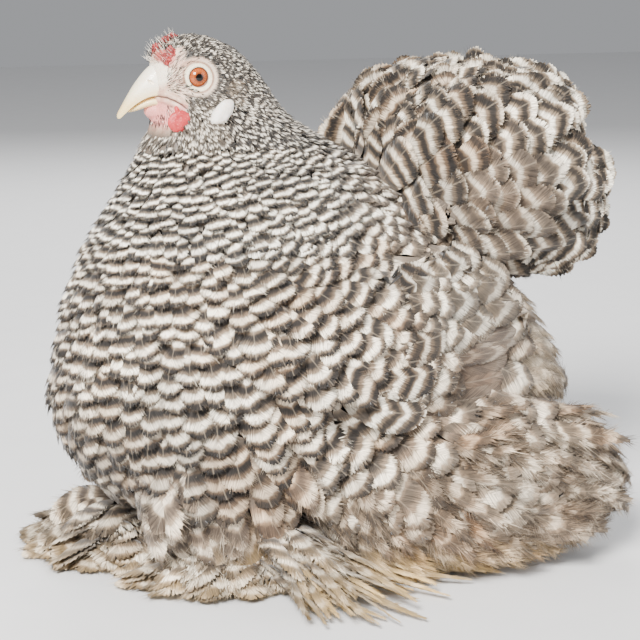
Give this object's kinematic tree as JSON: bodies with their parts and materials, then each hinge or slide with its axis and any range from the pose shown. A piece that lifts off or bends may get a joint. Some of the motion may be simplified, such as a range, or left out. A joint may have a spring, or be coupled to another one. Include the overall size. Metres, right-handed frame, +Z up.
{
  "type": "pekin bantam hen",
  "caption": "Standing pekin bantam hen with cuckoo-barred plumage, a cushion tail and feathered feet, as a still life-size model.",
  "frame": {"origin": "on the floor, under the middle of the hen's bounding box", "axes": "+Z up, -X the way the hen looks, -Y to her left"},
  "size_m": [0.262, 0.2088, 0.2273],
  "materials": {
    "plumage": "barred grey and cream feathers",
    "horn": "pale horn of the bill",
    "comb": "soft red skin",
    "lobe": "soft white skin",
    "eye": "wet gloss",
    "claw": "pale horn of the claws"
  },
  "bodies": {
    "root": {"torso": "plumage", "neck": "plumage", "head": "plumage", "tail": "plumage", "wing_left": "plumage", "thigh_left": "plumage", "shank_left": "plumage", "foot_left": "plumage", "earlobe_left": "lobe", "wattle_left": "comb", "eye_left": "eye", "claw_left_1": "claw", "claw_left_2": "claw", "claw_left_3": "claw", "claw_left_4": "claw", "wing_right": "plumage", "thigh_right": "plumage", "shank_right": "plumage", "foot_right": "plumage", "earlobe_right": "lobe", "wattle_right": "comb", "eye_right": "eye", "claw_right_1": "claw", "claw_right_2": "claw", "claw_right_3": "claw", "claw_right_4": "claw", "bill_upper": "horn", "bill_lower": "horn", "comb": "comb"}
  },
  "joints": []
}
